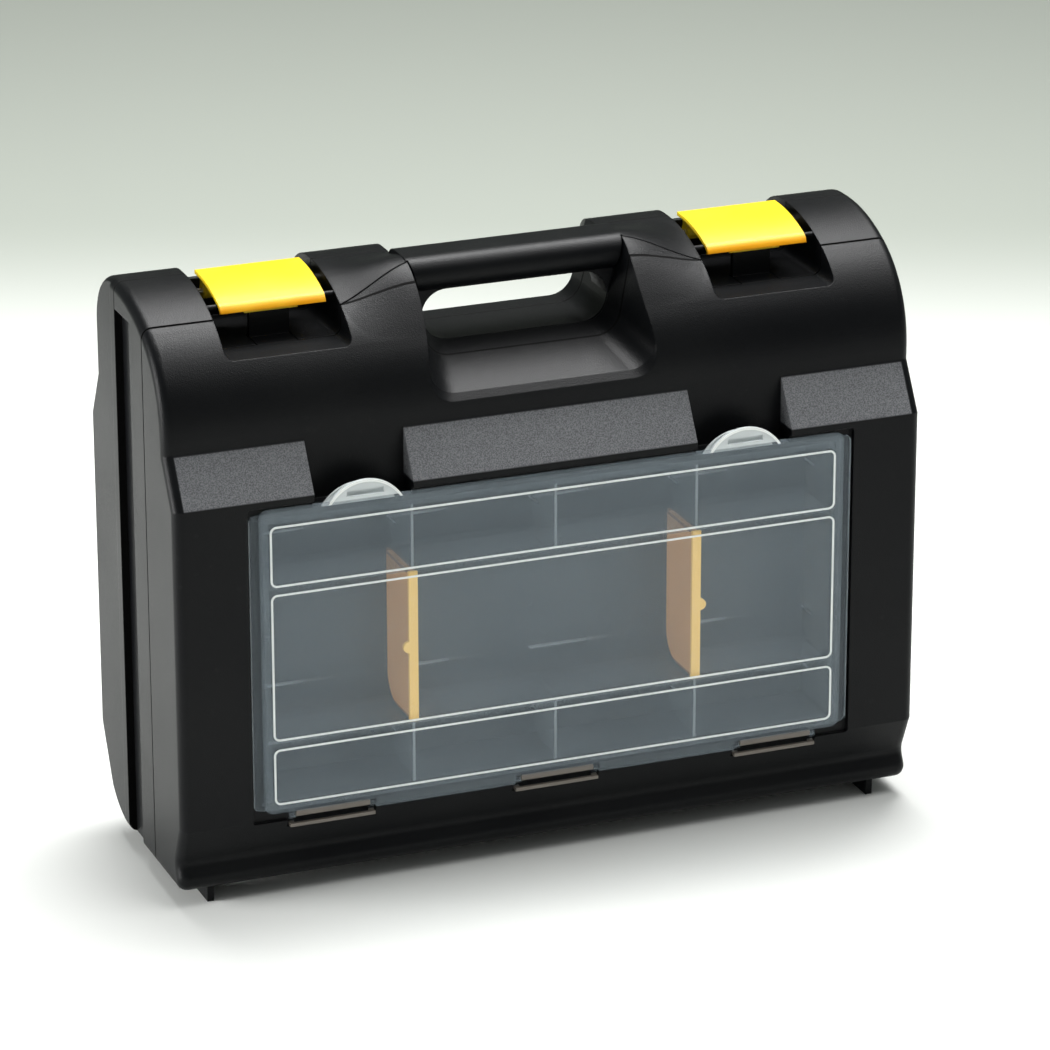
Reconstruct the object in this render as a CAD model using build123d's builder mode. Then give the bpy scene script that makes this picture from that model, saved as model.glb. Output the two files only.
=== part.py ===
from build123d import *
from math import atan2, cos, degrees, hypot, pi, radians, sin, tan
import os

os.makedirs("parts", exist_ok=True)

# The case as a whole. X is the width, the front faces -Y, and the feet stand on Z = 0.
case_width = 460
front_face = -78
rear_face = 80
bottom_height = 11
wall = 2.6
side_wall = 3.2
edge_radius = 6
inner_radius = 4

# The three layers meet at two upright seams.
seam_front = -25
seam_rear = 25
seam_gap = 0.8
lip_depth = 3
lip_clearance = 0.5
lip_thickness = 1.6
lip_root = 4
lip_top = 318

# Side profile: chamfered foot, upright faces, ramps and the rounded top
crease_height = 52
chamfer_height = 28
chamfer_inset = 11
chamfer_radius = 7
ramp_low = 247
ramp_high = 275
ramp_inset = 17
shoulder_radius = 63
shoulder_height = 282.5
shoulder_turn = 60
rear_ramp_low = 257
rear_ramp_high = 285
rear_ramp_inset = 14
crest_back = 32
foot_roll_inset = 7.5
foot_roll_height = 21.5

# Finger gaps between the ramps, above the organizer
finger_gap_inner = 87.5
finger_gap_outer = 147

# Groove in the side of the middle frame, and the rim of the rear shell
groove_depth = 4.5
groove_width = 27
groove_top = 336
rim_width = 8
rim_step = 1.0

# Handle bar, the tunnel below it and the hand pockets before and behind it
handle_top = 357
handle_thickness = 21
handle_depth = 36
handle_reach = 67
handle_gap = 0.5
tunnel_width = 107
tunnel_floor = 306.2
tunnel_corner = 15
tunnel_lean = 14.5
tunnel_hole_width = 115
throat_front = -12
throat_rear = 40
pocket_width = 139
pocket_floor = 289.3
pocket_corner = 16
pocket_bevel = 4
web_back = 12
crown_front = -52
crown_back = 25
crown_inner = 64
crown_outer = 118
crown_lift = 10.8
crown_sink = 0.3
crown_seam_back = 13
peak_place = 66
throat_half = 67
throat_low = 298.3
throat_clearance = 0.4

# Latches, their recesses and pins
latch_centre = 149.5
latch_width = 63
latch_thickness = 2.2
latch_proud = 1.0
latch_side_gap = 6.5
latch_tail = 27
latch_tip = -20.5
latch_knuckle = 14
latch_pin_radius = 1.5
latch_pin_place = 20
latch_pin_height = 342
latch_barrel_radius = 4.6
recess_floor = 321.5
recess_rear = 34
relief_high = 345.5
relief_low = 337
relief_back = 62
recess_corner = 5
pin_fit = 0.05
peg_radius = 1.7
peg_place = -13
peg_height = 342.5
peg_clearance = 0.5
catch_width = 24
catch_thickness = 3
catch_back = -8
catch_height = 14.8
catch_clearance = 1.3
hook_place = -13.5

# Hinge between the front shell and the middle frame
hinge_height = 6.5
hinge_barrel = 4
hinge_pin_radius = 1.5
hinge_centre = 120
hinge_knuckle = 20
hinge_clearance = 0.5

# Screws that hold the rear shell to the middle frame, and their bosses
screw_place = 213
screw_heights = (60, 180, 290)
screw_radius = 1.6
screw_head_radius = 3.4
screw_head_height = 2.4
screw_length = 22
boss_radius = 4.8
frame_boss_depth = 8
shell_boss_depth = 20

# Feet: thin fins under both sides
foot_centre = 209
foot_thickness = 4
foot_front = -64
foot_lid_back = -40
foot_frame_front = -19
foot_back = 56

# Organizer tray
flange_half_width = 186
flange_low = 57.5
flange_high = 238.5
flange_thickness = 1.6
flange_corner = 4
flange_seat = -74.5
tub_half_width = 176
tub_low = 62
tub_high = 234
tub_back = -33
tray_wall = 1.6
tray_clearance = 1.0
row_split_low = 98.5
row_split_high = 193
bin_scoop = 17
bin_spacing = 88
guide_height = 2
guide_thickness = 1.2
nub_radius = 2.4
nub_height = 2

# Dividers of the middle row
divider_thickness = 2
divider_fit = 0.3
divider_edge_width = 5.5
divider_bump = 3.5

# Organizer lid, its panels, finger tabs and hinge
lid_half_width = 180
lid_low = 56.2
lid_high = 241.4
lid_front = -80
lid_thickness = 1.4
lid_skirt = 1.5
ridge_height = 0.7
ridge_width = 1.2
panel_half_width = 174.6
panel_corner = 4
tab_centre = 117
tab_radius = 26
tab_top = 253
tray_tab_shift = 3
rod_place = -77.6
rod_height = 53.3
rod_radius = 1.2
clip_radius = 2.0
clip_fit = 0.08
lid_hinge_spacing = 139
strip_half = 22.5
leg_gap = 0.4
leg_width = 3.0
tongue_low = 51
loop_low = 46
loop_thickness = 2

# Values that follow from the sizes above
half_width = case_width / 2
front_upper = front_face + ramp_inset
rear_upper = rear_face - rear_ramp_inset
shoulder_centre = front_upper + shoulder_radius
shoulder_angle = radians(90 - shoulder_turn)
brow_radius = shoulder_radius + (seam_rear - shoulder_centre) / sin(shoulder_angle)
brow_height = shoulder_height - (brow_radius - shoulder_radius) * cos(shoulder_angle)
top_height = brow_height + brow_radius
crown_radius = rear_upper - crest_back
crown_height = top_height - crown_radius
recess_half = latch_width / 2 + latch_side_gap
shell_back = seam_front - seam_gap
roll_run = chamfer_inset - foot_roll_inset
roll_drop = chamfer_height - foot_roll_height
roll_turn = degrees(atan2(roll_drop, -roll_run))
roll_radius = (foot_roll_height - bottom_height) / (1 + roll_run / hypot(roll_run, roll_drop))
sides = (-1, 1)


def arc_point(centre, radius, angle):
    return (centre[0] - radius * sin(angle), centre[1] + radius * cos(angle))


def side_profile(inset, place):
    """Outline of the case seen from its side, on an upright plane at X = place."""
    shoulder = (shoulder_centre, shoulder_height)
    brow = (seam_rear, brow_height)
    crown = (crest_back, crown_height)
    with BuildSketch(Plane.YZ.offset(place)) as profile:
        with BuildLine():
            Polyline(
                (front_upper, shoulder_height),
                (front_upper, ramp_high),
                (front_face, ramp_low),
                (front_face, crease_height),
                (front_face + chamfer_inset, chamfer_height),
                (front_face + foot_roll_inset, foot_roll_height),
            )
            roll = JernArc(
                (front_face + foot_roll_inset, foot_roll_height),
                (-roll_run, -roll_drop),
                roll_radius,
                roll_turn,
            )
            Line(roll @ 1, (rear_face - 50, bottom_height))
            ThreePointArc(
                (rear_face - 50, bottom_height),
                (rear_face - 32, bottom_height + 4.5),
                (rear_face - 18, bottom_height + 15),
            )
            Polyline(
                (rear_face - 18, bottom_height + 15),
                (rear_face, crease_height + 10),
                (rear_face, rear_ramp_low),
                (rear_upper, rear_ramp_high),
                (rear_upper, crown_height),
            )
            ThreePointArc(
                (rear_upper, crown_height),
                arc_point(crown, crown_radius, radians(-45)),
                (crest_back, top_height),
            )
            Line((crest_back, top_height), (seam_rear, top_height))
            ThreePointArc(
                (seam_rear, top_height),
                arc_point(brow, brow_radius, shoulder_angle / 2),
                arc_point(brow, brow_radius, shoulder_angle),
            )
            ThreePointArc(
                arc_point(brow, brow_radius, shoulder_angle),
                arc_point(shoulder, shoulder_radius, radians(60)),
                (front_upper, shoulder_height),
            )
        make_face()
        corner = (front_face + chamfer_inset, chamfer_height)
        fillet(profile.vertices().sort_by_distance(corner)[0], radius=chamfer_radius)
        if inset:
            offset(amount=-inset, kind=Kind.INTERSECTION)
    return profile.sketch


def block(x_range, y_range, z_range, mode=Mode.ADD, corner=0):
    """Upright block between the given limits, with rounded upright edges if wanted."""
    width = x_range[1] - x_range[0]
    depth = y_range[1] - y_range[0]
    with BuildSketch(Plane.XY.offset(z_range[0])) as base:
        with Locations(((x_range[0] + x_range[1]) / 2, (y_range[0] + y_range[1]) / 2)):
            if corner:
                RectangleRounded(width, depth, corner)
            else:
                Rectangle(width, depth)
    extrude(base.sketch, amount=z_range[1] - z_range[0], mode=mode)


def front_panel(x_range, z_range, y_range, corner, mode=Mode.ADD):
    """Panel facing the front, with rounded corners, between two depths."""
    width = x_range[1] - x_range[0]
    height = z_range[1] - z_range[0]
    with BuildSketch(Plane.XZ.offset(-y_range[1])) as face:
        with Locations(((x_range[0] + x_range[1]) / 2, (z_range[0] + z_range[1]) / 2)):
            RectangleRounded(width, height, corner)
    extrude(face.sketch, amount=y_range[1] - y_range[0], mode=mode)


def rod(x_range, y, z, radius, mode=Mode.ADD):
    """Round rod along X."""
    with BuildSketch(Plane.YZ.offset(x_range[0])) as circle:
        with Locations((y, z)):
            Circle(radius)
    extrude(circle.sketch, amount=x_range[1] - x_range[0], mode=mode)


def side_plate(outline, x_range, mode=Mode.ADD):
    """Plate across X from an outline drawn in Y and Z."""
    with BuildSketch(Plane.YZ.offset(x_range[0])) as face:
        with BuildLine():
            Polyline(*outline, close=True)
        make_face()
    extrude(face.sketch, amount=x_range[1] - x_range[0], mode=mode)


def tub_outline(y, low, low_half, lean, corner):
    """Upright outline with two rounded lower corners and sides that may lean outwards."""
    top = handle_top + 30
    high_half = low_half + (top - low) * tan(radians(lean))
    with BuildSketch(Plane.XZ.offset(-y)) as outline:
        with BuildLine():
            Polyline((-low_half, low), (low_half, low), (high_half, top), (-high_half, top), close=True)
        make_face()
        fillet(outline.vertices().group_by(Axis.Y)[0], radius=corner)
    return outline.sketch


def tunnel_outline(y, grow):
    return tub_outline(y, tunnel_floor - grow, tunnel_width / 2 + grow, tunnel_lean, tunnel_corner + grow)


def hand_pocket(side, grow, mode):
    """Funnel from the outer face to the tunnel, with a bevelled mouth; grow gives the wall around it."""
    face = front_upper if side < 0 else rear_upper
    throat = tunnel_outline(throat_front if side < 0 else throat_rear, grow)
    half = pocket_width / 2 + grow
    low = pocket_floor - grow
    corner = pocket_corner + grow
    neck = tub_outline(face - side * pocket_bevel, low, half, 0, corner)
    wide = 2 * pocket_bevel
    mouth = tub_outline(face + side * pocket_bevel, low - wide, half + wide / 2, 0, corner)
    loft(sections=[throat.face(), neck.face()], mode=mode)
    loft(sections=[neck.face(), mouth.face()], mode=mode)


def tunnel(grow, mode):
    """Straight part between the two funnels."""
    start = throat_front - grow - 0.5
    outline = tunnel_outline(throat_rear + grow + 0.5, grow)
    extrude(outline, amount=throat_rear + grow + 0.5 - start, mode=mode)


def latch_recess(side, grow, mode):
    """Recess for one latch, from the finger space in front to a sloping relief behind the tail."""
    centre = side * latch_centre
    side_plate(
        (
            (recess_rear - 1, relief_high - grow),
            (relief_back + grow, relief_low - grow),
            (relief_back + grow, top_height + 15),
            (recess_rear - 1, top_height + 15),
        ),
        (centre - recess_half - grow, centre + recess_half + grow),
        mode,
    )
    front_panel(
        (centre - recess_half - grow, centre + recess_half + grow),
        (recess_floor - grow, top_height + 15),
        (front_face, recess_rear + grow),
        recess_corner + grow / 2,
        mode,
    )


def top_at(y):
    """Height of the rounded top at a depth between the front and the crest."""
    if y < shoulder_centre - shoulder_radius * sin(shoulder_angle):
        return shoulder_height + (shoulder_radius**2 - (y - shoulder_centre) ** 2) ** 0.5
    return brow_height + (brow_radius**2 - (y - seam_rear) ** 2) ** 0.5


def crown_section(share):
    """Swell of the top beside the handle; share runs from 0 at the latch to 1 at the handle."""
    lift = crown_lift * (1 - cos(pi * share)) / 2
    steps = 8
    points = []
    for step in range(steps + 1):
        y = crown_front + (crown_back - crown_front) * step / steps
        points.append((y, top_at(y) - crown_sink + lift * sin(pi * step / steps) ** 2))
    foot_level = top_at(crown_front) - 8
    with BuildSketch(Plane.YZ.offset(crown_outer * (share - 1) - crown_inner * share)) as section:
        with BuildLine():
            Spline(*points)
            Polyline(points[-1], (crown_back, foot_level), (crown_front, foot_level), points[0])
        make_face()
    return section.sketch


def inner_solid(inset, side_inset, radius):
    """The body shape shrunk inwards, with rounded edges at both sides."""
    with BuildPart() as core:
        extrude(side_profile(inset, -half_width + side_inset), amount=half_width - side_inset)
        fillet(core.faces().sort_by(Axis.X)[0].edges(), radius=radius)
        mirror(about=Plane.YZ)
    return core.part


def screw_boss(side, height, y_range, wall_place):
    """Round boss along Y with a web to the side wall, drilled for a screw."""
    reach = wall_place - screw_place
    with BuildSketch(Plane.XZ.offset(-y_range[1])) as boss:
        with Locations((side * screw_place, height)):
            Circle(boss_radius)
        with Locations((side * (screw_place + reach / 2), height)):
            Rectangle(reach, boss_radius)
    extrude(boss.sketch, amount=y_range[1] - y_range[0])
    with BuildSketch(Plane.XZ.offset(-y_range[1])) as bore:
        with Locations((side * screw_place, height)):
            Circle(screw_radius + pin_fit)
    extrude(bore.sketch, amount=y_range[1] - y_range[0], mode=Mode.SUBTRACT)


# Outer body: one rounded half, mirrored. The crown carries the top up to the handle.
with BuildPart() as envelope:
    extrude(side_profile(0, -half_width), amount=half_width)
    fillet(envelope.faces().sort_by(Axis.X)[0].edges(), radius=edge_radius)
    loft(sections=[crown_section(step / 4).face() for step in range(5)])
    mirror(about=Plane.YZ)

# Hollow inside, less the walls that the recesses need
with BuildPart() as hollow:
    add(inner_solid(wall, side_wall, inner_radius))
    for side in sides:
        latch_recess(side, wall, Mode.SUBTRACT)
        hand_pocket(side, wall, Mode.SUBTRACT)
        gap = sorted((side * (finger_gap_inner - wall), side * (finger_gap_outer + wall)))
        block(gap, (front_face, front_upper + wall), (flange_high - wall, ramp_high + 6), Mode.SUBTRACT)
        groove = sorted((side * (half_width - groove_depth - side_wall), side * half_width))
        groove_range = (seam_rear - groove_width - 4, seam_rear + wall)
        block(groove, groove_range, (0, top_height), Mode.SUBTRACT)
    tunnel(wall, Mode.SUBTRACT)
    block((-190, 190), (front_face, flange_seat + wall), (42, 246), Mode.SUBTRACT)
    tub_wall = tray_clearance + wall
    block(
        (-tub_half_width - tub_wall, tub_half_width + tub_wall),
        (front_face, tub_back + tub_wall),
        (tub_low - tub_wall, tub_high + tub_wall),
        Mode.SUBTRACT,
    )

# Lip around the frame that reaches into the front shell and closes the seam
with BuildPart() as seam_lip:
    for grow, y_range in (
        (-0.5, (seam_front, seam_front + lip_root)),
        (lip_clearance, (seam_front - lip_depth, seam_front)),
    ):
        reach = half_width - side_wall - grow
        low = bottom_height + wall + grow
        front_panel((-reach, reach), (low, lip_top + 20), y_range, inner_radius - 0.5)
    reach = half_width - side_wall - lip_clearance - lip_thickness
    low = bottom_height + wall + lip_clearance + lip_thickness
    lip_range = (seam_front - lip_depth, seam_front + lip_root)
    front_panel((-reach, reach), (low, lip_top + 30), lip_range, inner_radius - 2, Mode.SUBTRACT)
    block((-half_width, half_width), lip_range, (lip_top, lip_top + 30), Mode.SUBTRACT)


def seam_space(back, clearance):
    """Space before the front seam; it runs back to the handle ends and around the front throat."""
    with BuildPart() as space:
        block((-half_width - 5, half_width + 5), (front_face - 20, back), (-20, handle_top + 40))
        with BuildSketch(Plane.XY.offset(tunnel_floor + 26)) as tongue:
            with BuildLine():
                Polyline(
                    (latch_centre - recess_half, back - 5),
                    (latch_centre - recess_half, back),
                    (peak_place, back + crown_seam_back),
                    (-peak_place, back + crown_seam_back),
                    (recess_half - latch_centre, back),
                    (recess_half - latch_centre, back - 5),
                    close=True,
                )
            make_face()
        extrude(tongue.sketch, amount=60)
        half = throat_half + clearance
        low = throat_low - clearance
        block((-half, half), (back - 5, back + crown_seam_back), (low, handle_top + 40))
    return space.part


def cut_openings():
    """Tunnel, hand pockets and latch recesses, cut alike through all three layers."""
    tunnel(0, Mode.SUBTRACT)
    for side in sides:
        hand_pocket(side, 0, Mode.SUBTRACT)
        latch_recess(side, 0, Mode.SUBTRACT)


def foot(x_centre, y_range, front_slope):
    """Fin that the case stands on."""
    side_plate(
        (
            (y_range[0], bottom_height + 8),
            (y_range[0] + front_slope, 0),
            (y_range[1], 0),
            (y_range[1], bottom_height + 2),
        ),
        (x_centre - foot_thickness / 2, x_centre + foot_thickness / 2),
    )


def hinge_knuckles(starts, web_to):
    """Barrels on the hinge line with webs up to the shell."""
    for start in starts:
        span = (start, start + hinge_knuckle)
        rod(span, seam_front, hinge_height, hinge_barrel)
        web = sorted((seam_front, web_to))
        block(span, web, (hinge_height, bottom_height + 1))
        rod(span, seam_front, hinge_height, hinge_pin_radius + pin_fit, Mode.SUBTRACT)


# Front shell: carries the organizer in a tub and the ramps above it
with BuildPart() as front_shell:
    add(envelope.part)
    add(hollow.part, mode=Mode.SUBTRACT)
    add(seam_space(shell_back, 0), mode=Mode.INTERSECT)
    cut_openings()
    for side in sides:
        gap = sorted((side * finger_gap_inner, side * finger_gap_outer))
        block(gap, (front_face - 5, front_upper), (flange_high, ramp_high), Mode.SUBTRACT)
    front_panel(
        (-flange_half_width - 1, flange_half_width + 1),
        (tongue_low - 1, lid_high + 1.6),
        (front_face - 5, flange_seat),
        2,
        Mode.SUBTRACT,
    )
    front_panel(
        (-tub_half_width - tray_clearance, tub_half_width + tray_clearance),
        (tub_low - tray_clearance, tub_high + tray_clearance),
        (front_face - 5, tub_back + tray_clearance),
        2,
        Mode.SUBTRACT,
    )
    for column in (-1, 0, 1):
        centre = column * lid_hinge_spacing
        slot = strip_half + leg_gap + leg_width + 1
        block((centre - slot, centre + slot), (front_face - 5, flange_seat + 0.7),
              (loop_low - 0.8, tongue_low), Mode.SUBTRACT)
    for side in sides:
        foot(side * foot_centre, (foot_front, foot_lid_back), 1.5)
        centre = side * hinge_centre
        hinge_knuckles((centre - hinge_knuckle / 2,), seam_front - 9)
        middle = side * latch_centre
        side_plate(
            (
                (shell_back - 3, recess_floor - wall),
                (catch_back, recess_floor - wall),
                (catch_back, recess_floor + catch_height),
                (catch_back - catch_thickness, recess_floor + catch_height),
                (catch_back - catch_thickness, recess_floor),
                (shell_back - 3, recess_floor),
            ),
            (middle - catch_width / 2, middle + catch_width / 2),
        )
front_shell.part.label = "front_shell"

# Handle bar; in front of the seam it stays clear of the throat of the front shell
with BuildPart() as grip:
    with BuildSketch(Plane.YZ.offset(-handle_reach)) as bar:
        with Locations((0, handle_top - handle_thickness / 2)):
            RectangleRounded(handle_depth, handle_thickness, handle_thickness / 2 - 0.5)
    extrude(bar.sketch, amount=2 * handle_reach)
    with BuildPart(mode=Mode.PRIVATE) as room:
        extrude(tunnel_outline(throat_front, -handle_gap), amount=handle_depth)
        behind = (throat_front, handle_depth)
        block((-handle_reach - 5, handle_reach + 5), behind, (tunnel_floor, handle_top + 5))
    add(room.part, mode=Mode.INTERSECT)

# Ends of the tunnel below the bar: they close it to a hole with four round corners
with BuildPart() as end_webs:
    web_range = (throat_front, web_back)
    web_top = handle_top - handle_thickness + 4
    front_panel((-peak_place, peak_place), (tunnel_floor - wall / 2, web_top), web_range, 2)
    hole_half = tunnel_hole_width / 2
    hole_height = (tunnel_floor, handle_top - handle_thickness + 0.4)
    front_panel((-hole_half, hole_half), hole_height, web_range, tunnel_corner, Mode.SUBTRACT)

# Middle frame: the ring between the seams, with the handle and the latch blocks
with BuildPart() as middle_frame:
    add(envelope.part)
    add(hollow.part, mode=Mode.SUBTRACT)
    split(bisect_by=Plane.XZ.offset(-seam_rear), keep=Keep.TOP)
    cut_openings()
    add(seam_space(seam_front, throat_clearance), mode=Mode.SUBTRACT)
    add(grip.part)
    add(end_webs.part)
    add(seam_lip.part)
    for side in sides:
        rim = side * half_width
        deep = side * (half_width - groove_depth)
        with BuildSketch(Plane.XY) as groove_profile:
            with BuildLine():
                Line((rim, seam_rear + 1), (deep, seam_rear + 1))
                Line((deep, seam_rear + 1), (deep, seam_rear - groove_width * 0.45))
                ThreePointArc(
                    (deep, seam_rear - groove_width * 0.45),
                    (deep + side * groove_depth * 0.35, seam_rear - groove_width * 0.75),
                    (rim, seam_rear - groove_width),
                )
                Line((rim, seam_rear - groove_width), (rim, seam_rear + 1))
            make_face()
        extrude(groove_profile.sketch, amount=groove_top, mode=Mode.SUBTRACT)
        foot(side * foot_centre, (foot_frame_front, seam_rear), 0)
        centre = side * hinge_centre
        step = hinge_knuckle + hinge_clearance
        starts = (centre - hinge_knuckle / 2 - step, centre - hinge_knuckle / 2 + step)
        hinge_knuckles(starts, seam_front + 9)
        middle = side * latch_centre
        for edge in sides:
            inner = edge * (latch_width / 2 + peg_clearance)
            outer = edge * (recess_half + 1)
            span = sorted((middle + inner, middle + outer))
            rod(span, peg_place, peg_height, peg_radius)
        pin_span = (middle - recess_half - wall - 1, middle + recess_half + wall + 1)
        rod(pin_span, latch_pin_place, latch_pin_height, latch_pin_radius + pin_fit, Mode.SUBTRACT)
        block(
            (middle - catch_width / 2 - 0.6, middle + catch_width / 2 + 0.6),
            (seam_front - 1, catch_back + 1.5),
            (recess_floor - wall - 1, recess_floor + 1),
            Mode.SUBTRACT,
        )
        for height in screw_heights:
            boss_span = (seam_rear - frame_boss_depth, seam_rear)
            screw_boss(side, height, boss_span, half_width - groove_depth - 1)
middle_frame.part.label = "middle_frame"

# Rear shell: the deep half behind the rear seam
with BuildPart() as rear_shell:
    add(envelope.part)
    add(hollow.part, mode=Mode.SUBTRACT)
    split(bisect_by=Plane.XZ.offset(-seam_rear), keep=Keep.BOTTOM)
    cut_openings()
    for side in sides:
        strip = sorted((side * (half_width - rim_step), side * (half_width + 5)))
        block(strip, (seam_rear + rim_width, rear_face + 5), (0, top_height + 5), Mode.SUBTRACT)
        foot(side * foot_centre, (seam_rear, foot_back), 0)
        for height in screw_heights:
            screw_boss(side, height, (seam_rear, seam_rear + shell_boss_depth), half_width - 2)
rear_shell.part.label = "rear_shell"


def latch(side, name):
    """Curved latch that pivots on its steel pin and wraps over the top to the front seam."""
    centre = side * latch_centre
    left = centre - latch_width / 2
    offset_to_middle = latch_proud - latch_thickness / 2
    middle_height = top_height + offset_to_middle
    brow_middle = brow_radius + offset_to_middle
    tip_angle = (seam_rear - latch_tip - 5.5) / brow_middle
    tip_start = arc_point((seam_rear, brow_height), brow_middle, tip_angle * 1.02)
    with BuildPart() as piece:
        with BuildSketch(Plane.YZ.offset(left)) as section:
            with BuildLine():
                Line((latch_tail, middle_height), (seam_rear, middle_height))
                ThreePointArc(
                    (seam_rear, middle_height),
                    arc_point((seam_rear, brow_height), brow_middle, tip_angle / 2),
                    tip_start,
                )
                JernArc(tip_start, (-cos(tip_angle), -sin(tip_angle)), 6, 55)
            trace(line_width=latch_thickness)
        extrude(section.sketch, amount=latch_width)
        hook_low = recess_floor + catch_height + catch_clearance
        side_plate(
            (
                (hook_place - 1.5, hook_low),
                (hook_place + 1.5, hook_low),
                (hook_place + 1.5, hook_low + 7.4),
                (hook_place - 1.5, hook_low + 6.4),
            ),
            (centre - catch_width / 2 - 4, centre + catch_width / 2 + 4),
        )
        for start in (left + 2, left + latch_width - 2 - latch_knuckle):
            span = (start, start + latch_knuckle)
            rod(span, latch_pin_place, latch_pin_height, latch_barrel_radius)
            web_span = (latch_pin_place - 3, latch_pin_place + 3)
            block(span, web_span, (latch_pin_height, middle_height - 0.3))
            rod(span, latch_pin_place, latch_pin_height, latch_pin_radius + pin_fit, Mode.SUBTRACT)
    piece.part.label = name
    return piece


def pin(centre, half_length, y, z, radius, name):
    """Plain steel pin along X."""
    with BuildPart() as piece:
        rod((centre - half_length, centre + half_length), y, z, radius)
    piece.part.label = name
    return piece


latch_left = latch(-1, "latch_left")
latch_right = latch(1, "latch_right")
latch_pin_half = recess_half + wall
latch_line = (latch_pin_place, latch_pin_height, latch_pin_radius)
latch_pin_left = pin(-latch_centre, latch_pin_half, *latch_line, "latch_pin_left")
latch_pin_right = pin(latch_centre, latch_pin_half, *latch_line, "latch_pin_right")
hinge_pin_half = 1.5 * hinge_knuckle + hinge_clearance
hinge_line = (seam_front, hinge_height, hinge_pin_radius)
hinge_pin_left = pin(-hinge_centre, hinge_pin_half, *hinge_line, "hinge_pin_left")
hinge_pin_right = pin(hinge_centre, hinge_pin_half, *hinge_line, "hinge_pin_right")

# Six screws along Y, with their heads inside the frame
with BuildPart() as shell_screws:
    head_back = seam_rear - frame_boss_depth
    screw_places = [(side * screw_place, height) for side in sides for height in screw_heights]
    with BuildSketch(Plane.XZ.offset(-head_back - screw_length)) as shank:
        with Locations(*screw_places):
            Circle(screw_radius)
    extrude(shank.sketch, amount=screw_length)
    with BuildSketch(Plane.XZ.offset(-head_back)) as head:
        with Locations(*screw_places):
            Circle(screw_head_radius)
    extrude(head.sketch, amount=screw_head_height)
    chamfer(shell_screws.edges().group_by(Axis.Y)[0], length=0.8)
shell_screws.part.label = "shell_screws"

tray_floor = tub_back - tray_wall
flange_front = flange_seat - flange_thickness
lid_plate_front = lid_front + ridge_height
lid_plate_back = lid_plate_front + lid_thickness
bin_half_width = tub_half_width - tray_wall
row_low = (tub_low + tray_wall, row_split_low - tray_wall / 2)
row_middle = (row_split_low + tray_wall / 2, row_split_high - tray_wall / 2)
row_high = (row_split_high + tray_wall / 2, tub_high - tray_wall)
columns = (-1, 0, 1)


def bin_slice(z_range, x_range, inset, mode):
    """Bin shape with its scooped lower corner, cut or filled between two places along X."""
    depth = tray_floor - inset - flange_front
    height = z_range[1] - z_range[0] - 2 * inset
    with BuildSketch(Plane.YZ.offset(x_range[0])) as section:
        with Locations((flange_front + depth / 2, (z_range[0] + z_range[1]) / 2)):
            Rectangle(depth, height)
        fillet(section.vertices().group_by(Axis.X)[-1].sort_by(Axis.Y)[0], radius=bin_scoop - inset)
    extrude(section.sketch, amount=x_range[1] - x_range[0], mode=mode)


# Organizer tray: flange, tub with three rows of bins, divider guides and hinge loops
with BuildPart() as organizer_tray:
    front_panel(
        (-flange_half_width, flange_half_width),
        (flange_low, flange_high),
        (flange_front, flange_seat),
        flange_corner,
    )
    for side in sides:
        with BuildSketch(Plane.XZ.offset(-flange_seat)) as tab_face:
            with Locations((side * tab_centre - tray_tab_shift, tab_top - 2 - tab_radius)):
                Circle(tab_radius)
            with Locations((side * tab_centre - tray_tab_shift, flange_high - 5 - tab_radius)):
                Rectangle(2 * tab_radius + 2, 2 * tab_radius, mode=Mode.SUBTRACT)
        extrude(tab_face.sketch, amount=flange_thickness)
    for row in (row_low, row_middle, row_high):
        bin_slice(row, (-tub_half_width, tub_half_width), -tray_wall, Mode.ADD)
    for row in (row_low, row_middle, row_high):
        bin_slice(row, (-bin_half_width, bin_half_width), 0, Mode.SUBTRACT)
    for row in (row_low, row_high):
        for column in columns:
            place = column * bin_spacing
            bin_slice(row, (place - tray_wall / 2, place + tray_wall / 2), 0, Mode.ADD)
    guide_range = (flange_seat + 2, tray_floor + 0.5)
    for column in columns:
        for edge in sides:
            inner = column * bin_spacing + edge * (divider_thickness / 2 + divider_fit)
            span = sorted((inner, inner + edge * guide_thickness))
            block(span, guide_range, (row_middle[0] - 0.2, row_middle[0] + guide_height))
            block(span, guide_range, (row_middle[1] - guide_height, row_middle[1] + 0.2))
    for column in columns:
        centre = column * lid_hinge_spacing
        reach = strip_half + leg_gap + leg_width
        for edge in sides:
            leg = sorted((centre + edge * (strip_half + leg_gap), centre + edge * reach))
            block(leg, (flange_front, flange_seat - 0.1), (loop_low, flange_low + 1))
            block(leg, (rod_place - 1, flange_front), (loop_low, loop_low + loop_thickness))
            rod(leg, rod_place, rod_height, clip_radius)
            rod(leg, rod_place, rod_height, rod_radius + clip_fit, Mode.SUBTRACT)
        bar = (loop_low, loop_low + loop_thickness)
        block((centre - reach, centre + reach), (rod_place - 1, rod_place + 1), bar)
    with BuildSketch(Plane.XZ.offset(-tray_floor)) as gate_nub:
        with Locations((-1, 145)):
            Circle(nub_radius)
    extrude(gate_nub.sketch, amount=nub_height, taper=25)
organizer_tray.part.label = "organizer_tray"

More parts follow.
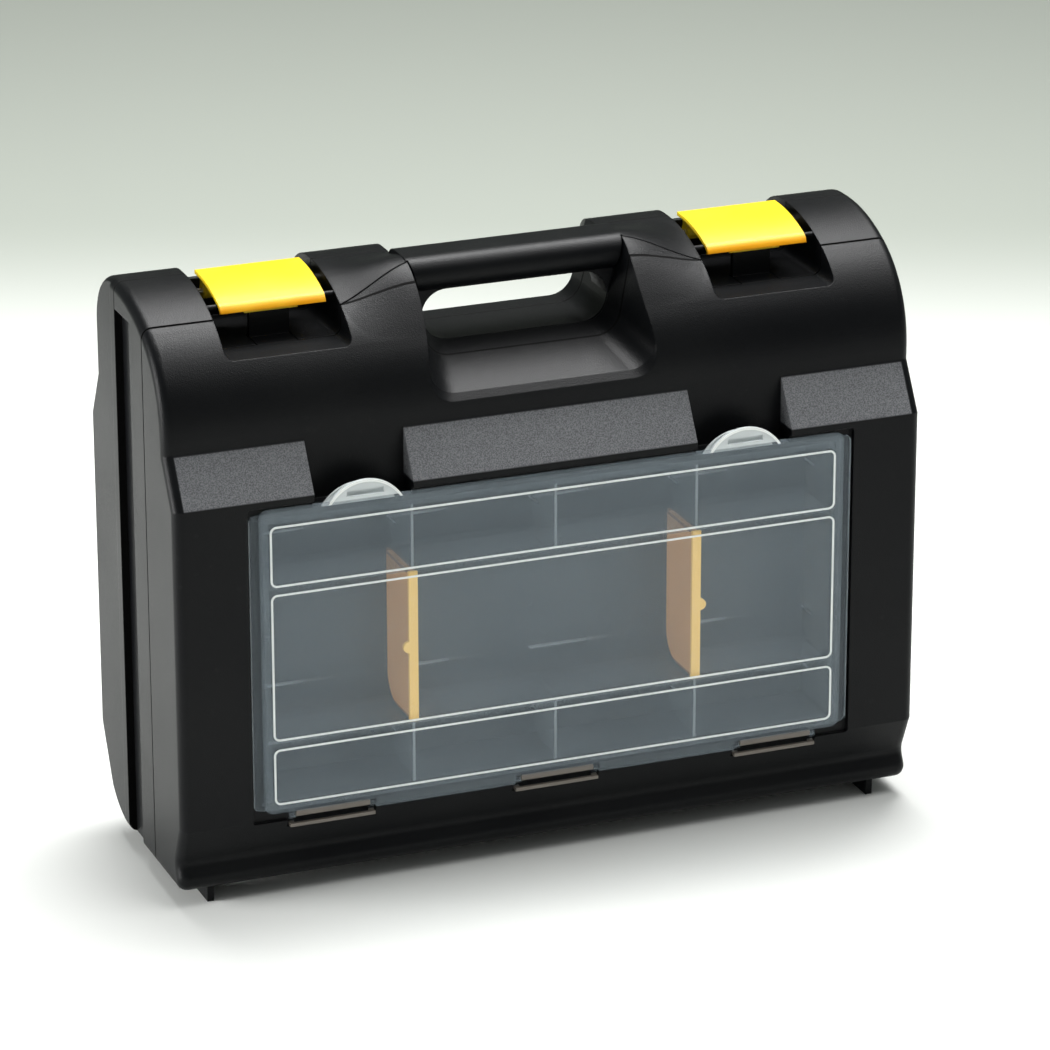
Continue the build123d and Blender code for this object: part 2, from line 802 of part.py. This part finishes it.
# Organizer lid: plate with three raised panel outlines, skirt, finger tabs and hinge rods
with BuildPart() as organizer_lid:
    plate_range = (lid_plate_front, lid_plate_back)
    front_panel((-lid_half_width, lid_half_width), (lid_low, lid_high), plate_range, 5)
    for side in sides:
        with BuildSketch(Plane.XZ.offset(-lid_plate_back)) as tab_face:
            with Locations((side * tab_centre, tab_top - tab_radius)):
                Circle(tab_radius)
            with Locations((side * tab_centre, lid_high - 5 - tab_radius)):
                Rectangle(2 * tab_radius + 2, 2 * tab_radius, mode=Mode.SUBTRACT)
            with Locations((side * tab_centre, lid_high + 4)):
                Rectangle(22, 3.5, mode=Mode.SUBTRACT)
        extrude(tab_face.sketch, amount=lid_thickness)
        with BuildSketch(Plane.XZ.offset(-lid_plate_front)) as tab_rim:
            with Locations((side * tab_centre, tab_top - tab_radius)):
                Circle(tab_radius)
                Circle(tab_radius - 1.4, mode=Mode.SUBTRACT)
            with Locations((side * tab_centre, lid_high - 1 - tab_radius)):
                Rectangle(2 * tab_radius + 2, 2 * tab_radius, mode=Mode.SUBTRACT)
        extrude(tab_rim.sketch, amount=ridge_height)
    with BuildSketch(Plane.XZ.offset(-flange_front + 0.2)) as skirt:
        with Locations((0, (lid_low + lid_high) / 2)):
            RectangleRounded(2 * lid_half_width, lid_high - lid_low, 5)
            RectangleRounded(
                2 * (lid_half_width - lid_skirt), lid_high - lid_low - 2 * lid_skirt, 4, mode=Mode.SUBTRACT
            )
    extrude(skirt.sketch, amount=flange_front - 0.2 - lid_plate_back)
    for panel in ((61.4, 96), (101, 190.8), (195.1, 231.9)):
        with BuildSketch(Plane.XZ.offset(-lid_plate_front)) as ridge:
            with Locations((0, (panel[0] + panel[1]) / 2)):
                RectangleRounded(2 * panel_half_width, panel[1] - panel[0], panel_corner)
                RectangleRounded(
                    2 * (panel_half_width - ridge_width),
                    panel[1] - panel[0] - 2 * ridge_width,
                    panel_corner - ridge_width,
                    mode=Mode.SUBTRACT,
                )
        extrude(ridge.sketch, amount=ridge_height)
    reach = strip_half + leg_gap + leg_width
    for side in sides:
        tongue_span = sorted((side * (reach + 0.5), side * (lid_hinge_spacing - reach - 0.5)))
        block(tongue_span, (lid_plate_front, lid_plate_back), (tongue_low, lid_low + 2))
    for column in columns:
        centre = column * lid_hinge_spacing
        strip = (centre - strip_half, centre + strip_half)
        block(strip, (lid_plate_front, lid_plate_back), (rod_height, lid_low + 1))
        rod((centre - reach, centre + reach), rod_place, rod_height, rod_radius)
organizer_lid.part.label = "organizer_lid"


def divider(side, name):
    """Loose divider that stands between the guides of the middle row."""
    centre = side * bin_spacing
    half = divider_thickness / 2
    with BuildPart() as piece:
        bin_slice(row_middle, (centre - half, centre + half), divider_fit, Mode.ADD)
        with BuildSketch(Plane.XZ.offset(-flange_front - 1)) as edge:
            with Locations((centre, (row_middle[0] + row_middle[1]) / 2)):
                Rectangle(divider_edge_width, row_middle[1] - row_middle[0] - 2 * divider_fit)
                with Locations((side * divider_edge_width / 2, 0)):
                    Circle(divider_bump)
        extrude(edge.sketch, amount=2)
    piece.part.label = name
    return piece


divider_left = divider(-1, "divider_left")
divider_right = divider(1, "divider_right")

for piece in (
    front_shell,
    middle_frame,
    rear_shell,
    latch_left,
    latch_right,
    latch_pin_left,
    latch_pin_right,
    hinge_pin_left,
    hinge_pin_right,
    shell_screws,
    organizer_tray,
    organizer_lid,
    divider_left,
    divider_right,
):
    export_step(piece.part, "parts/" + piece.part.label + ".step")
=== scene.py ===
import math

import bmesh
import bpy
from mathutils import Matrix, Vector

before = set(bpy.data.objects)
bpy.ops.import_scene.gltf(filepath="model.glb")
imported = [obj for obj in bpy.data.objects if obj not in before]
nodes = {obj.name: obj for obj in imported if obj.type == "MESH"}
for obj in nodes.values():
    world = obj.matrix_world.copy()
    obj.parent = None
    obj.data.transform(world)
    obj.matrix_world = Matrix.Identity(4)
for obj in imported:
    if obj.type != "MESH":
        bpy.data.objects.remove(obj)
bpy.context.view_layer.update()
print("frame loaded:", len(nodes), "pieces")

# the case as it was drawn, in metres
case = {
    "halfWidth": 0.230,
    "rampLow": 0.247,
    "rampHigh": 0.275,
    "frontUpper": -0.061,
    "seamFront": -0.0254,
    "seamRear": 0.025,
}


class Wire:                       # one shader socket that takes part in sums
    def __init__(self, web, socket):
        self.web = web
        self.socket = socket

    def maths(self, operation, *terms):
        return self.web.add("ShaderNodeMath", {"operation": operation}, dict(enumerate(terms)))

    def __add__(self, other):
        return self.maths("ADD", self, other)

    def __radd__(self, other):
        return self.maths("ADD", other, self)

    def __sub__(self, other):
        return self.maths("SUBTRACT", self, other)

    def __rsub__(self, other):
        return self.maths("SUBTRACT", other, self)

    def __mul__(self, other):
        return self.maths("MULTIPLY", self, other)

    def __rmul__(self, other):
        return self.maths("MULTIPLY", other, self)

    def __truediv__(self, other):
        return self.maths("DIVIDE", self, other)

    def __pow__(self, other):
        return self.maths("POWER", self, other)

    def __gt__(self, other):
        return self.maths("GREATER_THAN", self, other)

    def __lt__(self, other):
        return self.maths("LESS_THAN", self, other)

    def __abs__(self):
        return self.maths("ABSOLUTE", self)

    def wrapped(self, width, shift=0.0):      # folds the value into one spacing around zero
        moved = self - width * shift
        return self.maths("WRAP", moved, width / 2, -width / 2)

    def clamped(self):
        return self.web.add("ShaderNodeClamp", {}, {"Value": self})

    def over(self, low, high):    # 0 below low, 1 above high, smooth between
        ends = {"Value": self, "From Min": low, "From Max": high}
        return self.web.add("ShaderNodeMapRange", {"interpolation_type": "SMOOTHSTEP"}, ends)


class Web:                        # the node web of one material
    def __init__(self, name):
        self.material = bpy.data.materials.new(name)
        self.material.use_nodes = True
        self.tree = self.material.node_tree
        self.tree.nodes.clear()

    def add(self, kind, settings, values, out=0):
        node = self.tree.nodes.new(kind)
        for key, value in settings.items():
            setattr(node, key, value)
        for key, value in values.items():
            if isinstance(value, Wire):
                self.tree.links.new(value.socket, node.inputs[key])
            else:
                node.inputs[key].default_value = value
        return Wire(self, node.outputs[out])

    def places(self):             # X, Y and Z of the point in the object's own metres
        spot = self.add("ShaderNodeTexCoord", {}, {}, "Object")
        x = self.add("ShaderNodeSeparateXYZ", {}, {0: spot}, 0)
        parts = x.socket.node.outputs
        return spot, x, Wire(self, parts[1]), Wire(self, parts[2])

    def noise(self, spot, scale, detail):
        values = {"Vector": spot, "Scale": scale, "Detail": detail, "Roughness": 0.5}
        return self.add("ShaderNodeTexNoise", {}, values)

    def cells(self, spot, scale):
        return self.add("ShaderNodeTexVoronoi", {"feature": "F1"}, {"Vector": spot, "Scale": scale})

    def mixed(self, factor, first, second):      # colours
        values = {"Factor": factor, 6: first, 7: second}
        return self.add("ShaderNodeMix", {"data_type": "RGBA"}, values, 2)

    def bump(self, height, strength, distance, normal=None):
        values = {"Height": height, "Strength": strength, "Distance": distance}
        if normal is not None:
            values["Normal"] = normal
        return self.add("ShaderNodeBump", {}, values)

    def softEdge(self, radius):   # catches light along sharp moulded edges
        return self.add("ShaderNodeBevel", {"samples": 3}, {"Radius": radius})

    def finish(self, values):
        shader = self.add("ShaderNodeBsdfPrincipled", {}, values)
        self.show(shader)
        return self.material

    def show(self, shader):
        out = self.tree.nodes.new("ShaderNodeOutputMaterial")
        self.tree.links.new(shader.socket, out.inputs["Surface"])


# black moulded plastic: fine grain on the body, a coarser one on the ramps, where a pale painted sheen
# stands for the top light the upturned coarse grain catches
shellFinish = {
    "colour": (0.0028, 0.0032, 0.0040, 1.0),
    "worn": (0.0052, 0.0057, 0.0062, 1.0),
    "rampSheenLow": (0.098, 0.101, 0.107, 1.0),
    "rampSheenHigh": (0.196, 0.200, 0.210, 1.0),
    "roughness": 0.37,
    "rampRoughness": 0.70,
    "shine": 0.13,
    "grain": 1350.0,
    "rampGrain": 1050.0,
    "speckGrain": 1700.0,
    "wearSize": 11.0,
    "scuffSize": 170.0,
    "scuff": (0.012, 0.0125, 0.013, 1.0),
    "scuffShare": 0.35,
    "rampSpeckle": 1400.0,
    "rampInset": 0.0065,
    "bumpStrength": 0.60,
    "bumpDepth": 0.00012,
    "edge": 0.0009,
    "seam": (0.0005, 0.0005, 0.0005, 1.0),
    "seamWidth": 0.0005,
    "seamFade": 0.0003,
}


def shellPlastic(name, withRamps):
    web = Web(name)
    spot, x, y, z = web.places()
    grain = web.cells(spot, shellFinish["grain"])
    speck = web.noise(spot, shellFinish["speckGrain"], 1.0)
    wear = web.noise(spot, shellFinish["wearSize"], 2.0)
    scuff = web.noise(spot, shellFinish["scuffSize"], 2.0)
    roughness = shellFinish["roughness"] + (wear - 0.5) * 0.14 + (speck - 0.5) * 0.22
    colour = web.mixed(wear.over(0.35, 0.75), shellFinish["colour"], shellFinish["worn"])
    scuffed = scuff.over(0.66, 0.80) * shellFinish["scuffShare"]
    colour = web.mixed(scuffed, colour, shellFinish["scuff"])
    height = grain + speck * 0.8
    if withRamps:
        low = z.over(case["rampLow"] - 0.0004, case["rampLow"] + 0.0006)
        high = 1.0 - z.over(case["rampHigh"] - 0.0006, case["rampHigh"] + 0.0004)
        front = 1.0 - y.over(case["frontUpper"] - 0.0009, case["frontUpper"] - 0.0004)
        end = case["halfWidth"] - shellFinish["rampInset"]
        side = 1.0 - abs(x).over(end, end + 0.001)
        ramp = low * high * front * side
        coarse = web.cells(spot, shellFinish["rampGrain"])
        speckle = web.noise(spot, shellFinish["rampSpeckle"], 1.0)
        # painted sheen: the ramps get a pale speckled colour for the light their coarse upturned grain
        # catches
        paintedSheen = web.mixed(speckle.over(0.32, 0.68), shellFinish["rampSheenLow"], shellFinish["rampSheenHigh"])
        colour = web.mixed(ramp, colour, paintedSheen)
        roughness = roughness + ramp * (shellFinish["rampRoughness"] - shellFinish["roughness"])
        height = height + ramp * coarse * 2.0
    for seam in ("seamFront", "seamRear"):      # the joint between two layers reads as a dark line
        width = shellFinish["seamWidth"]
        line = 1.0 - abs(y - case[seam]).over(width, width + shellFinish["seamFade"])
        colour = web.mixed(line, colour, shellFinish["seam"])
        roughness = roughness + line * 0.5
    edge = web.softEdge(shellFinish["edge"])
    normal = web.bump(height, shellFinish["bumpStrength"], shellFinish["bumpDepth"], edge)
    return web.finish({
        "Base Color": colour,
        "Roughness": roughness.clamped(),
        "Normal": normal,
        "Specular IOR Level": shellFinish["shine"],
    })


# glossy yellow latches; where the thin front lip curls under it is painted orange as painted shade on its
# down-turned face
latchFinish = {
    "top": (1.0, 0.70, 0.022, 1.0),
    "shadedLip": (0.92, 0.33, 0.004, 1.0),
    "lipStart": -0.0125,
    "lipEnd": -0.0200,
    "bright": (0.99, 0.80, 0.06, 1.0),
    "brightShare": 0.25,
    "roughness": 0.33,
    "shine": 0.12,
    "coat": 0.05,
    "gate": (0.1495, -0.0165),
    "gateInside": 0.0008,
    "gateOutside": 0.0022,
    "gateFade": 0.0006,
    "edge": 0.0006,
}


def latchPlastic():
    web = Web("latch_yellow")
    spot, x, y, z = web.places()
    flow = web.noise(spot, 25.0, 2.0)
    fine = web.noise(spot, 900.0, 1.0)
    # painted shade: the down-turned lip is coloured orange
    shadedLip = 1.0 - (y + flow * 0.002).over(latchFinish["lipEnd"], latchFinish["lipStart"])
    colour = web.mixed(shadedLip, latchFinish["top"], latchFinish["shadedLip"])
    colour = web.mixed(flow.over(0.4, 0.8) * latchFinish["brightShare"], colour, latchFinish["bright"])
    across = abs(x) - latchFinish["gate"][0]
    along = y - latchFinish["gate"][1]
    away = (across * across + along * along) ** 0.5
    inside, outside, fade = (latchFinish[key] for key in ("gateInside", "gateOutside", "gateFade"))
    ring = away.over(inside, inside + fade) * (1.0 - away.over(outside - fade, outside))
    height = fine * 0.1 + ring
    return web.finish({
        "Base Color": colour,
        "Roughness": latchFinish["roughness"] + (flow - 0.5) * 0.1,
        "Normal": web.bump(height, 0.5, 0.00012, web.softEdge(latchFinish["edge"])),
        "Coat Weight": latchFinish["coat"],
        "Specular IOR Level": latchFinish["shine"],
    })


# loose dividers: the thick front edge painted creamy yellow as if lit, the thin web behind it painted
# duller as painted shade inside the bins
dividerFinish = {
    "edge": (1.0, 0.68, 0.20, 1.0),
    "web": (0.66, 0.37, 0.17, 1.0),
    "flow": (0.86, 0.50, 0.16, 1.0),
    "edgeBack": -0.0748,
    "roughness": 0.42,
    "glow": 0.28,                 # stands for the light that comes through the thin plastic
}


def dividerPlastic():
    web = Web("divider_amber")
    spot, x, y, z = web.places()
    flow = web.noise(spot, 40.0, 2.0)
    fine = web.noise(spot, 1200.0, 1.0)
    # lit front edge against the painted shade on the web behind it
    edge = 1.0 - y.over(dividerFinish["edgeBack"] - 0.0002, dividerFinish["edgeBack"])
    colour = web.mixed(edge, dividerFinish["web"], dividerFinish["edge"])
    colour = web.mixed(flow * 0.15, colour, dividerFinish["flow"])
    return web.finish({
        "Base Color": colour,
        "Roughness": dividerFinish["roughness"] + (flow - 0.5) * 0.15,
        "Normal": web.bump(fine, 0.1, 0.00005, web.softEdge(0.0004)),
        "Emission Color": colour,
        "Emission Strength": dividerFinish["glow"],
    })


steelFinish = {
    "dark": (0.46, 0.46, 0.47, 1.0),
    "paintedSheen": (0.62, 0.62, 0.63, 1.0),
    "drawn": (60.0, 2400.0, 2400.0),
    "roughness": 0.24,
}


def drawnSteel():
    web = Web("steel_wire")
    spot, x, y, z = web.places()
    stretched = web.add("ShaderNodeMapping", {}, {"Vector": spot, "Scale": steelFinish["drawn"]})
    scratch = web.noise(stretched, 1.0, 3.0)
    colour = web.mixed(scratch, steelFinish["dark"], steelFinish["paintedSheen"])
    return web.finish({
        "Base Color": colour,
        "Metallic": 1.0,
        "Roughness": steelFinish["roughness"] + scratch * 0.18,
        "Normal": web.bump(scratch, 0.15, 0.00004),
    })


# milky clear plastic of the organizer: hazy in the flats; the raised lines and edges painted nearly white
# as painted highlights
organizerFinish = {
    "haze": (0.41, 0.49, 0.55, 1.0),
    "strip": (0.20, 0.175, 0.15, 1.0),
    "stripAlpha": 0.85,
    # near-white colour of the painted highlights on lines and edges; the tabs are lightened towards it too
    "line": (0.92, 0.95, 0.93, 1.0),
    "lidAlpha": 0.115,
    "trayAlpha": 0.14,
    "highlightLineAlpha": 0.88,
    "rimAlpha": 0.30,
    "tabAlpha": 0.66,
    "hingeSpacing": 0.139,
    "stripHalf": 0.0226,
    "binSpacing": 0.088,
    # heights of the painted highlight streaks along the scooped bin floors
    "scoopGlintHeights": (0.2106, 0.1162, 0.0803),
    "scoopGlintShare": 0.45,
    "wallShare": 0.45,
    "edgeShare": 0.35,
    "roughness": 0.30,
    "shine": 0.35,
    "glass": 1.49,
    # heights and depths at which one part of the moulding ends and the next starts
    "lidLineFront": -0.07975,
    "lidStripTop": 0.0556,
    "lidTabLow": 0.2414,
    "wallFront": -0.0759,
    "flangeSide": 0.1852,
    "wallReach": 0.0890,
    "wallLow": 0.062,
    "lowRowTop": 0.0985,
    "topRowLow": 0.195,
    "wallTop": 0.233,
    "scoopBack": -0.0480,
    "trayStripTop": 0.0482,
    "legTop": 0.0572,
    "trayTabLow": 0.2386,
}


def clearPlastic(name, flatAlpha, masks):
    web = Web(name)
    spot, x, y, z = web.places()
    cloud = web.noise(spot, 22.0, 2.0)
    fine = web.noise(spot, 1400.0, 1.0)
    line, strip, extra = masks(web, x, y, z)
    # lines and edges take the painted highlight colour
    colour = web.mixed(line, organizerFinish["haze"], organizerFinish["line"])
    colour = web.mixed(extra.clamped(), colour, organizerFinish["line"])
    colour = web.mixed(strip, colour, organizerFinish["strip"])
    facing = web.add("ShaderNodeLayerWeight", {}, {"Blend": 0.35}, 1)
    alpha = flatAlpha + (cloud - 0.5) * 0.05 + line * (organizerFinish["highlightLineAlpha"] - flatAlpha)
    alpha = alpha + facing * organizerFinish["rimAlpha"] + extra
    alpha = alpha * (1.0 - strip) + strip * organizerFinish["stripAlpha"]
    return web.finish({
        "Base Color": colour,
        "Roughness": organizerFinish["roughness"] + (cloud - 0.5) * 0.1,
        "Alpha": alpha.clamped(),
        "Normal": web.bump(fine, 0.12, 0.00006),
        "IOR": organizerFinish["glass"],
        "Specular IOR Level": organizerFinish["shine"],
    })


def lidMasks(web, x, y, z):       # painted highlights on the raised outlines, strips that hold the rods, brighter tabs
    lineFront = organizerFinish["lidLineFront"]
    stripTop = organizerFinish["lidStripTop"]
    tabLow = organizerFinish["lidTabLow"]
    line = 1.0 - y.over(lineFront, lineFront + 0.0003)
    column = abs(x.wrapped(organizerFinish["hingeSpacing"]))
    strip = (column < organizerFinish["stripHalf"]) * (1.0 - z.over(stripTop, stripTop + 0.0004))
    tab = z.over(tabLow, tabLow + 0.0004) * organizerFinish["tabAlpha"]
    return line, strip, tab


def trayMasks(web, x, y, z):      # painted highlights on the flange edge, the front edges of the bin walls and the scooped bin floors; hinge bars
    wallFront = organizerFinish["wallFront"]
    side = organizerFinish["flangeSide"]
    reach = organizerFinish["wallReach"]
    spacing = organizerFinish["binSpacing"]
    scoopBack = organizerFinish["scoopBack"]
    stripTop = organizerFinish["trayStripTop"]
    legTop = organizerFinish["legTop"]
    tabLow = organizerFinish["trayTabLow"]
    front = 1.0 - y.over(wallFront, wallFront + 0.0003)
    edge = abs(x).over(side, side + 0.0006) * organizerFinish["edgeShare"]
    inside = 1.0 - abs(x).over(reach, reach + 0.0002)
    column = abs(x.wrapped(spacing))
    outerRows = (z > organizerFinish["topRowLow"]) + (z < organizerFinish["lowRowTop"])
    walls = front * inside * (1.0 - column.over(0.0006, 0.0010)) * outerRows
    walls = walls * (z < organizerFinish["wallTop"]) * (z > organizerFinish["wallLow"])
    # painted glint streaks where the scooped floors meet the back of each bin
    back = y.over(scoopBack, scoopBack + 0.004)
    glint = 0.0
    for height in organizerFinish["scoopGlintHeights"]:
        glint = glint + (1.0 - abs(z - height).over(0.0002, 0.0014))
    along = x.wrapped(spacing, 0.5) / spacing + 0.5
    glint = glint * back * (1.0 - along.over(0.15, 0.75)) * organizerFinish["scoopGlintShare"]
    line = (edge + walls * organizerFinish["wallShare"] + glint).clamped()
    strip = (1.0 - z.over(stripTop, stripTop + 0.0004)).clamped()
    legs = (1.0 - z.over(legTop, legTop + 0.0003)) * (1.0 - strip)
    tab = z.over(tabLow, tabLow + 0.0004) * organizerFinish["tabAlpha"]
    return line * (1.0 - legs), strip, tab - legs * 0.15


def dress(nodeName, material):
    piece = nodes[nodeName]
    if not piece.data.materials:
        piece.data.materials.append(material)
    for place in range(len(piece.data.materials)):
        piece.data.materials[place] = material


print("materials")
frontPlastic = shellPlastic("shell_black_front", True)
bodyPlastic = shellPlastic("shell_black", False)
yellow = latchPlastic()
amber = dividerPlastic()
steel = drawnSteel()
lidClear = clearPlastic("organizer_clear_lid", organizerFinish["lidAlpha"], lidMasks)
trayClear = clearPlastic("organizer_clear_tray", organizerFinish["trayAlpha"], trayMasks)
dress("front_shell", frontPlastic)
dress("middle_frame", bodyPlastic)
dress("rear_shell", bodyPlastic)
for nodeName in ("latch_left", "latch_right"):
    dress(nodeName, yellow)
for nodeName in ("latch_pin_left", "latch_pin_right", "hinge_pin_left", "hinge_pin_right", "shell_screws"):
    dress(nodeName, steel)
for nodeName in ("divider_left", "divider_right"):
    dress(nodeName, amber)
dress("organizer_lid", lidClear)
dress("organizer_tray", trayClear)


# pale studio floor that runs up into a backdrop; painted darker further back as painted shade
studio = {
    "halfWidth": 6.0,
    "front": -4.5,
    "back": 5.5,
    "sweep": 1.5,
    "near": (0.965, 0.98, 0.95, 1.0),
    "farShaded": (0.470, 0.503, 0.450, 1.0),
    "paper": (0.7, 0.74, 0.68, 1.0),
    "fadeStart": 0.66,
    "fadeEnd": 1.28,
    "wallTop": 5.0,
    "sweepSteps": 12,
    "air": (0.80, 0.83, 0.82, 1.0),
    "airStrength": 0.27,
}


def backdropMaterial():
    web = Web("backdrop_paper")
    spot, x, y, z = web.places()
    # painted shade: the colour darkens from near to far across the floor and backdrop
    distance = (y + z * 0.6 + x * 0.4).over(studio["fadeStart"], studio["fadeEnd"])
    paper = web.noise(spot, 3.0, 4.0)
    colour = web.mixed(distance, studio["near"], studio["farShaded"])
    colour = web.mixed(paper * 0.04, colour, studio["paper"])
    return web.finish({"Base Color": colour, "Roughness": 0.9, "Specular IOR Level": 0.1})


def makeBackdrop():
    mesh = bpy.data.meshes.new("backdrop")
    shape = bmesh.new()
    profile = [(studio["front"], 0.0), (studio["back"] - studio["sweep"], 0.0)]
    for step in range(1, studio["sweepSteps"] + 1):
        turn = math.radians(90 * step / studio["sweepSteps"])
        y = studio["back"] - studio["sweep"] + studio["sweep"] * math.sin(turn)
        z = studio["sweep"] * (1 - math.cos(turn))
        profile.append((y, z))
    profile.append((studio["back"], studio["wallTop"]))
    rows = []
    for y, z in profile:
        rows.append([shape.verts.new((side * studio["halfWidth"], y, z)) for side in (-1, 1)])
    for low, high in zip(rows, rows[1:]):
        shape.faces.new((low[0], low[1], high[1], high[0]))
    shape.to_mesh(mesh)
    shape.free()
    for face in mesh.polygons:
        face.use_smooth = True
    backdrop = bpy.data.objects.new("backdrop", mesh)
    bpy.context.scene.collection.objects.link(backdrop)
    mesh.materials.append(backdropMaterial())


print("floor and lights")
makeBackdrop()

world = bpy.data.worlds.new("studio_air")
world.use_nodes = True
bpy.context.scene.world = world
air = world.node_tree.nodes["Background"]
air.inputs["Color"].default_value = studio["air"]
air.inputs["Strength"].default_value = studio["airStrength"]

# each lamp: where it stands, where it points, size and power
lamps = {
    "top_box": ((0.30, 0.60, 2.2), (0.0, 0.05, 0.2), (1.5, 1.1), 60.0),
    "front_box": ((0.80, -0.95, 2.3), (0.0, 0.0, 0.2), (1.5, 1.1), 19.0),
    "left_box": ((-2.3, 0.3, 0.45), (0.0, 0.0, 0.10), (0.9, 1.3), 58.0),
    "gloss_box": ((0.75, 0.22, 2.35), (0.0, 0.0, 0.30), (1.4, 1.1), 66.0),
}
for lampName, (stand, target, size, power) in lamps.items():
    light = bpy.data.lights.new(lampName, "AREA")
    light.shape = "RECTANGLE"
    light.size, light.size_y = size
    light.energy = power
    lamp = bpy.data.objects.new(lampName, light)
    aim = (Vector(target) - Vector(stand)).to_track_quat("-Z", "Y")
    lamp.matrix_world = Matrix.Translation(Vector(stand)) @ aim.to_matrix().to_4x4()
    lamp.visible_diffuse = lampName != "gloss_box"      # that one only draws the highlights
    lamp.visible_camera = False
    bpy.context.scene.collection.objects.link(lamp)

# the photograph's viewpoint
viewpoint = {
    "place": (-1.06057, -2.72772, 1.28946),
    "right": (0.93059022, -0.36606024, -0.00132425),
    "down": (-0.13080282, -0.32914095, -0.93517745),
    "ahead": (0.34189541, 0.8704402, -0.35417706),
    "focalPixels": 5311.65,
    "imagePixels": 1050.0,
    "sensor": 36.0,               # millimetres
    "farEnd": 60.0,
}
cameraData = bpy.data.cameras.new("camera")
cameraData.sensor_width = viewpoint["sensor"]
cameraData.lens = viewpoint["focalPixels"] / viewpoint["imagePixels"] * viewpoint["sensor"]
cameraData.clip_end = viewpoint["farEnd"]
camera = bpy.data.objects.new("camera", cameraData)
bpy.context.scene.collection.objects.link(camera)
turned = Matrix((
    Vector(viewpoint["right"]),
    -Vector(viewpoint["down"]),
    -Vector(viewpoint["ahead"]),
)).transposed()
camera.matrix_world = Matrix.Translation(Vector(viewpoint["place"])) @ turned.to_4x4()
bpy.context.scene.camera = camera
bpy.context.scene.view_settings.view_transform = "Standard"
